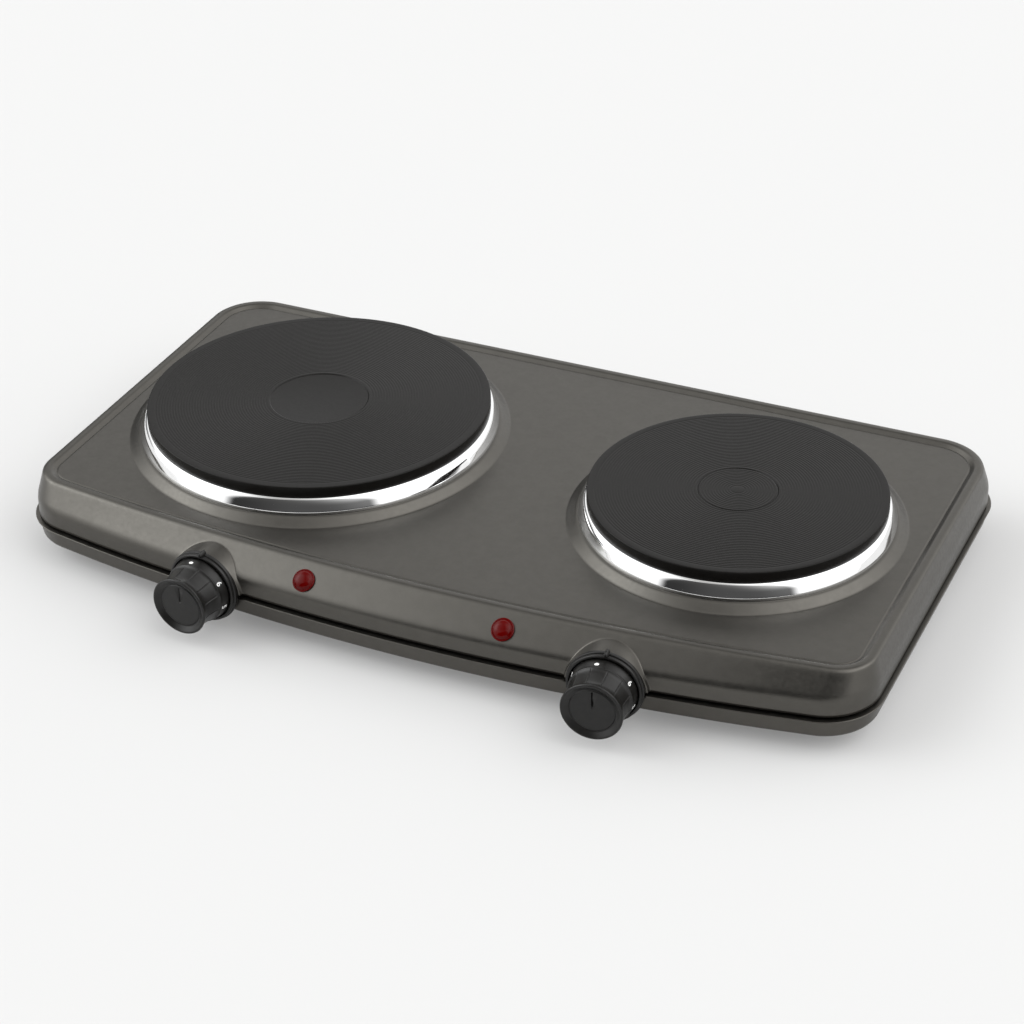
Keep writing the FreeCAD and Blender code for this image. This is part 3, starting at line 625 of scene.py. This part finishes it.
def make_knob(side, place):
    starts = [FACET_TURN / 2 + FACET_TURN * i for i in range(FACETS)]
    turns = np.radians([start + t for start in starts for t in FACET_TURNS])
    local = np.array(FACET_TURNS * FACETS)
    trench = np.clip(1 - np.minimum(local, FACET_TURN - local) / TRENCH, 0, 1)
    flat = 1 - np.cos(math.pi / FACETS) / np.cos(np.radians(local - FACET_TURN / 2))

    def row(radius, z):
        return np.c_[radius * np.cos(turns), radius * np.sin(turns), np.full(len(turns), z)]

    rows = [row(radius, z) for radius, z in KNOB_SKIRT]
    for radius, z in KNOB_GRIP:
        fade = max(0.0, min(1.0, (z - GRIP_FOOT) / 0.8, (GRIP_HEAD - z) / 1.4))
        rows.append(row(radius * (1 - FLATNESS * flat * fade) - TRENCH_DEEP * trench * fade, z))
    rows += [row(radius, z) for radius, z in KNOB_FACE + KNOB_HOLLOW]
    skin = Skin()
    skin.rows(rows)
    knob = skin.object(f"{side}_control_knob", place)

    slit = Skin()
    near, far = SLIT_Y
    half = SLIT_WIDE / 2
    loop = np.array([(-half, near), (half, near), (half, far), (-half, far)])
    ends = [at_height(loop, z) for z in SLIT_Z]
    slit.rows(ends)
    for end in ends:
        slit.add(end, [(0, 1, 2, 3)])
    carve(knob, [slit.object("cutter", place)])
    return knob


BAND_Z = 3.3            # middle of the printed band
BAND_RADIUS = 17.25
BAND_TAPER = 0.165
BAND_MEAN = 17.0
DOT_TURN = math.radians(-8)
DOT_SIZE = (1.25, 0.85)
DOT_STEPS = 24
MARK_LIFT = (0.01, 0.07)    # bottom and top of the raised marks, above the band
DIAL = "654321"
DIAL_START = 58
DIAL_STEP = 48
DIGIT_SIZE = 4.4


def band_point(angle, across, lift):
    """A point on the knob's printed band: angle clockwise from the top, across towards the body."""
    z = BAND_Z - across
    radius = BAND_RADIUS - (z - 0.6) * BAND_TAPER + lift
    return (radius * math.sin(angle), radius * math.cos(angle), z)


def wrap_on_band(mesh, angle, size):
    """Lay a flat drawing, x along and y up, round the printed band."""
    for vertex in mesh.vertices:
        x, y, z = (c * size for c in vertex.co)
        lift = MARK_LIFT[z > 0]
        vertex.co = Vector(band_point(angle + x / BAND_MEAN, y, lift)) * MM


def make_marks(side, place):
    """The off mark and the dial's numbers."""
    marks = []
    for i, digit in enumerate(DIAL):
        curve = bpy.data.curves.new("digit", "FONT")
        curve.body = digit
        curve.align_x = "CENTER"
        curve.align_y = "CENTER"
        curve.extrude = 0.01
        curve.offset = 0.018
        text = link("digit", curve)
        shown = text.evaluated_get(bpy.context.evaluated_depsgraph_get())
        mesh = bpy.data.meshes.new_from_object(shown)
        bpy.data.objects.remove(text)
        wrap_on_band(mesh, math.radians(DIAL_START + DIAL_STEP * i), DIGIT_SIZE)
        marks.append(mesh)
    rounds = [t * 2 * math.pi / DOT_STEPS for t in range(DOT_STEPS)]
    rows = [[band_point(DOT_TURN + math.cos(t) * DOT_SIZE[0] / BAND_MEAN,
                        math.sin(t) * DOT_SIZE[1], lift) for t in rounds] for lift in MARK_LIFT]
    dot = Skin()
    dot.rows(rows)
    for row in rows:
        dot.add(row, [range(DOT_STEPS)])
    marks.append(bpy.data.meshes.new("dot"))
    marks[-1].from_pydata([tuple(c * MM for c in p) for p in dot.points], [], dot.faces)
    bm = bmesh.new()
    for mesh in marks:
        bm.from_mesh(mesh)
    bmesh.ops.remove_doubles(bm, verts=bm.verts, dist=WELD * MM / 4)
    bmesh.ops.recalc_face_normals(bm, faces=bm.faces)
    mesh = bpy.data.meshes.new(f"{side}_dial_marks")
    bm.to_mesh(mesh)
    bm.free()
    mesh.transform(place)
    return link(mesh.name, mesh)


NUB_AT = 19.9
NUB_HIGH = 1.45
NUB_TURN = math.radians(3)


def make_bezel(side, place):
    """The fixed ring behind a knob, with its pointer at the top."""
    profile = soften([(5.5, -2.5), (17.7, -2.5), (17.9, 0.0), (19.3, 0.0), (19.45, -1.5),
                      (19.0, -1.9), (BEZEL_RADIUS, -2.3), (BEZEL_RADIUS, -BEZEL_THICK),
                      (5.5, -BEZEL_THICK)],
                     [0, 0.4, 0.35, 0.7, 0.3, 0.2, 0.35, 0.2, 0], 5)
    skin = Skin()
    revolve(skin, profile + [profile[0]], count=128)
    nub = Skin()
    revolve(nub, soften([(0, -3.9), (1.35, -3.9), (NUB_HIGH, -1.2), (0.9, 0.55), (0, 0.62)],
                        [0, 0.2, 1.0, 0.6, 0], 5), 0, NUB_AT, 24)
    # Its outer half is drawn out to a blunt point, and all of it is bent round the ring.
    for i, (x, y, z) in enumerate(nub.points):
        rise = y - NUB_AT
        narrow = 1 - 0.45 * max(rise, 0) / NUB_HIGH
        turn = NUB_TURN - x * narrow / NUB_AT
        reach = NUB_AT + rise * (NUB_HIGH if rise > 0 else 1.0)
        nub.points[i] = (reach * math.sin(turn), reach * math.cos(turn), z)
    skin.add(nub.points, nub.faces)
    return skin.object(f"{side}_bezel_ring", place)


# ------------------------------------------------------------------ lamps

LAMP_X = 55.3
LAMP_Z = 38.0
LAMP_RADIUS = 6.0


def lamp_place(sign):
    """The lamp's own frame, square to the apron."""
    x = sign * LAMP_X
    z = LAMP_Z
    y = float(front_y(np.array(x), z))
    across = float(front_y(np.array(x + 1), z) - front_y(np.array(x - 1), z)) / 2
    down = Vector((0, y - float(front_y(np.array(x), z + 2)), -2)).normalized()
    along = Vector((1, across, 0)).normalized()
    out = down.cross(along).normalized()
    turn = Matrix((along, out.cross(along), out)).transposed().to_4x4()
    return Matrix.Translation(Vector((x, y, z)) * MM) @ turn


def make_lens(side):
    place = lamp_place(-1 if side == "left" else 1)
    r = LAMP_RADIUS
    profile = soften([(3.2, -9), (4.0, -9), (4.0, 0.1), (r, 0.1), (r, 0.9), (r - 0.55, 1.15),
                      (r - 0.75, 0.95), (r - 1.0, 1.3), (r - 1.7, 2.4), (2.4, 3.3), (0, 3.4),
                      (0, 2.3), (3.0, 1.2)],
                     [0, 0, 0, 0.1, 0.25, 0.15, 0.1, 0.3, 0.7, 0.9, 0, 0, 0], 4)
    skin = Skin()
    revolve(skin, profile + [profile[0]], count=64)
    return skin.object(f"{side}_signal_lens", place)


# ------------------------------------------------------------------ materials

class Paint:
    """A node-based material: noise drives the colour, the roughness and the relief."""

    def __init__(self, name, **values):
        self.material = bpy.data.materials.new(name)
        self.material.use_nodes = True
        self.tree = self.material.node_tree
        self.shader = self.tree.nodes["Principled BSDF"]
        for key, value in values.items():
            self.shader.inputs[key.replace("_", " ")].default_value = value
        self.place = self.node("ShaderNodeTexCoord", {}).outputs["Object"]

    def node(self, kind, values):
        node = self.tree.nodes.new(kind)
        for key, value in values.items():
            node.inputs[key].default_value = value
        return node

    def wire(self, source, target):
        self.tree.links.new(source, target)

    def noise(self, per_metre, detail=4.0):
        node = self.node("ShaderNodeTexNoise",
                         {"Scale": per_metre, "Detail": detail, "Roughness": 0.55})
        self.wire(self.place, node.inputs["Vector"])
        return node.outputs["Fac"]

    def colours(self, source, dark, light):
        ramp = self.node("ShaderNodeValToRGB", {})
        stops = ramp.color_ramp.elements
        for stop, place, colour in ((stops[0], 0.35, dark), (stops[1], 0.65, light)):
            stop.position = place
            stop.color = (*colour, 1)
        self.wire(source, ramp.inputs["Fac"])
        self.wire(ramp.outputs["Color"], self.shader.inputs["Base Color"])

    def roughness(self, source, low, high):
        node = self.node("ShaderNodeMapRange",
                         {"From Min": 0.3, "From Max": 0.7, "To Min": low, "To Max": high})
        self.wire(source, node.inputs["Value"])
        self.wire(node.outputs["Result"], self.shader.inputs["Roughness"])

    def relief(self, source, deep_mm):
        bump = self.node("ShaderNodeBump", {"Distance": deep_mm * MM, "Strength": 1.0})
        self.wire(source, bump.inputs["Height"])
        self.wire(bump.outputs["Normal"], self.shader.inputs["Normal"])


def shade(colour, factor):
    return tuple(min(1.0, c * factor) for c in colour)


def plain(name, colour, rough, per_metre=900, spread=0.12, deep=0.01, **values):
    """A finish whose colour and gloss vary a little, with fine relief."""
    paint = Paint(name, **values)
    paint.colours(paint.noise(per_metre * 0.12), shade(colour, 1 - spread),
                  shade(colour, 1 + spread))
    paint.roughness(paint.noise(per_metre * 0.35), rough * 0.88, min(1.0, rough * 1.12))
    paint.relief(paint.noise(per_metre, 3.0), deep)
    return paint.material


# Colour, roughness, grains per metre, spread of the colour and depth of the relief in millimetres.
FINISH = {
    "body_paint": plain("body_paint", (0.096, 0.0915, 0.083), 0.36, 1400, 0.03, 0.002,
                        Metallic=1.0),
    "pan_paint": plain("pan_paint", (0.098, 0.093, 0.084), 0.38, 1400, 0.03, 0.002, Metallic=1.0),
    "cast_iron": plain("cast_iron", (0.0042, 0.0036, 0.003), 0.34, 1800, 0.1, 0.002,
                       Specular_IOR_Level=0.17),
    "trim_steel": plain("trim_steel", (0.86, 0.86, 0.86), 0.05, 600, 0.02, 0.0, Metallic=1.0),
    "resistance_wire": plain("resistance_wire", (0.25, 0.22, 0.2), 0.55, 900, 0.2, Metallic=0.9),
    "ceramic": plain("ceramic", (0.78, 0.74, 0.66), 0.75, 700, 0.08, 0.02),
    "zinc_steel": plain("zinc_steel", (0.56, 0.57, 0.58), 0.32, 500, 0.12, Metallic=1.0),
    "spring_steel": plain("spring_steel", (0.42, 0.41, 0.4), 0.3, 700, 0.1, Metallic=1.0),
    "knob_plastic": plain("knob_plastic", (0.0078, 0.0074, 0.0068), 0.34, 2600, 0.2, 0.003,
                          Specular_IOR_Level=0.33),
    "brass": plain("brass", (0.74, 0.56, 0.26), 0.28, 600, 0.1, Metallic=1.0),
    "foot_rubber": plain("foot_rubber", (0.02, 0.02, 0.02), 0.8, 1500, 0.25, 0.02),
    "black_nylon": plain("black_nylon", (0.025, 0.025, 0.026), 0.45, 1500, 0.2, 0.01),
    "glass_sleeve": plain("glass_sleeve", (0.76, 0.73, 0.66), 0.85, 1800, 0.15, 0.05),
    "earth_sleeve": plain("earth_sleeve", (0.32, 0.5, 0.1), 0.8, 1800, 0.2, 0.05),
    "lamp_red": plain("lamp_red", (0.085, 0.0005, 0.0003), 0.08, 800, 0.1, 0.001,
                      Specular_IOR_Level=0.13),
    "lamp_glass": plain("lamp_glass", (0.85, 0.7, 0.6), 0.1, 700, 0.05, 0.002),
    "dial_white": plain("dial_white", (0.86, 0.86, 0.85), 0.5, 2000, 0.03, 0.004),
}


def dress(obj, finish, body, slot, *nodes):
    """Give a piece its finish, the body it rides on and the CAD nodes it stands for."""
    obj.data.materials.clear()
    obj.data.materials.append(FINISH[finish])
    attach(obj, body)
    if nodes:
        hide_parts(*nodes)


# ------------------------------------------------------------------ the object

dress(make_shell(), "body_paint", "base", "body_paint", "top_shell")
dress(make_pan(), "pan_paint", "base", "pan_paint", "base_pan")
for name in PLATES:
    dress(make_plate(name), "cast_iron", "base", "cast_iron", f"{name}_plate")
    dress(make_trim_ring(name), "trim_steel", "base", "trim_steel", f"{name}_trim_ring")
for child, place in KNOBS.items():
    side = child.split("_")[0]
    dress(make_knob(side, place), "knob_plastic", child, "knob_plastic", f"{side}_knob")
    dress(make_marks(side, place), "dial_white", child, "knob_plastic")
    dress(make_bezel(side, place), "knob_plastic", "base", "knob_plastic", f"{side}_knob_bezel")
    dress(make_lens(side), "lamp_red", "base", "lamp_red", f"{side}_lamp_lens")

for node in frame["nodes"].values():
    for held in node.material_slots:
        held.material = FINISH[held.material.name.split(".")[0]]


# ------------------------------------------------------------------ floor, light and camera

FLOOR_HALF = 9000


def make_floor():
    """A pale floor, faintly lit from below like a light table, so that shadows stay soft."""
    far = FLOOR_HALF
    skin = Skin()
    skin.add([(-far, -far, 0), (far, -far, 0), (far, far, 0), (-far, far, 0)], [(0, 1, 2, 3)])
    floor = skin.object("studio_floor")
    floor.data.materials.append(plain("studio_floor", (0.475, 0.475, 0.473), 0.9, 4, 0.003, 0.0,
                                      Emission_Strength=0.2))


def make_world(glows, wall):
    """A studio: a white wall with gaps in it, and broad soft glows above it.

    Each glow is (azimuth, elevation, sharpness, strength, colour). The wall is (strength, gaps,
    top): a gap is an azimuth and the cosines at which the wall starts to dim and is gone, and
    top is the sines of the elevations between which it fades. Azimuth 0 is in front of the
    object, and 90 is to its right."""
    world = bpy.data.worlds.new("studio")
    SCENE.world = world
    world.use_nodes = True
    nodes = world.node_tree.nodes
    place = nodes.new("ShaderNodeTexCoord").outputs["Generated"]

    def made(kind, values, *sources, **settings):
        node = nodes.new(kind)
        for key, value in settings.items():
            setattr(node, key, value)
        for key, value in values.items():
            node.inputs[key].default_value = value
        for key, source in enumerate(sources):
            if source is not None:
                world.node_tree.links.new(source, node.inputs[key])
        return node.outputs

    def towards(azimuth, elevation):
        turn, rise = math.radians(azimuth), math.radians(elevation)
        aim = (math.sin(turn) * math.cos(rise), -math.cos(turn) * math.cos(rise), math.sin(rise))
        return made("ShaderNodeVectorMath", {1: aim}, place, operation="DOT_PRODUCT")["Value"]

    def eased(source, start, end):
        limits = {"From Min": start, "From Max": end, "To Min": 1.0, "To Max": 0.0}
        return made("ShaderNodeMapRange", limits, source,
                    interpolation_type="SMOOTHSTEP")["Result"]

    strength, gaps, top = wall
    height = made("ShaderNodeSeparateXYZ", {}, place)["Z"]
    share = eased(height, *top)
    for facing, edge in gaps:
        share = made("ShaderNodeMath", {}, share, eased(towards(facing, 0), *edge),
                     operation="MULTIPLY")[0]
    scaled = {0: (strength, strength, strength)}
    total = made("ShaderNodeVectorMath", scaled, None, None, None, share,
                 operation="SCALE")["Vector"]
    for azimuth, elevation, sharp, strength, colour in glows:
        power = made("ShaderNodeMath", {1: sharp, 2: -sharp}, towards(azimuth, elevation),
                     operation="MULTIPLY_ADD")[0]
        glow = made("ShaderNodeMath", {}, power, operation="EXPONENT")[0]
        tint = made("ShaderNodeVectorMath", {0: [c * strength for c in colour]}, None, None, None,
                    glow, operation="SCALE")["Vector"]
        total = made("ShaderNodeVectorMath", {}, total, tint)["Vector"]
    world.node_tree.links.new(total, nodes["Background"].inputs["Color"])


VIEW = (24.887, 32.269, -1.007)     # azimuth, elevation and roll, in degrees
AIM = (30.8, -65.52)                # where the camera aims, from the middle of the plates' line
DISTANCE = 1.330
LENS = 91.93


def make_camera():
    azimuth, elevation, roll = (math.radians(a) for a in VIEW)
    target = Vector((AIM[0], PLATE_Y + AIM[1], PLATE_TOP)) * MM
    back = Vector((math.sin(azimuth) * math.cos(elevation),
                   -math.cos(azimuth) * math.cos(elevation), math.sin(elevation)))
    right = Vector((math.cos(azimuth), math.sin(azimuth), 0))
    up = back.cross(right)
    across = right * math.cos(roll) + up * math.sin(roll)
    upward = up * math.cos(roll) - right * math.sin(roll)
    camera = bpy.data.cameras.new("camera")
    camera.sensor_width = 36.0
    camera.lens = LENS
    obj = link("camera", camera)
    turn = Matrix((across, upward, back)).transposed().to_4x4()
    obj.matrix_world = Matrix.Translation(target + back * DISTANCE) @ turn
    SCENE.camera = obj


WHITE = (1.0, 1.0, 1.0)
COOL = (0.985, 1.0, 1.005)
WARM = (1.04, 1.0, 0.96)
GLOWS = [
    (-92, 38, 9, 0.9, COOL),
    (-68, 46, 20, 2.6, COOL),
    (-68, 26, 22, 2.5, COOL),
    (14, 10, 5, 0.07, WHITE),
    (0, 86, 6, 0.3, WARM),
    (92, 60, 9, 2.4, WHITE),
    (120, 36, 9, 0.8, WHITE),
    (62, 36, 22, 0.7, WHITE),
]
FRONT_GAP = (15, (0.65, 0.74))
LEFT_GAP = (-125, (0.82, 0.96))
WALL = (1.17, (FRONT_GAP, LEFT_GAP), (0.6, 0.86))
make_camera()
make_floor()
make_world(GLOWS, WALL)
SCENE.view_settings.view_transform = "Standard"
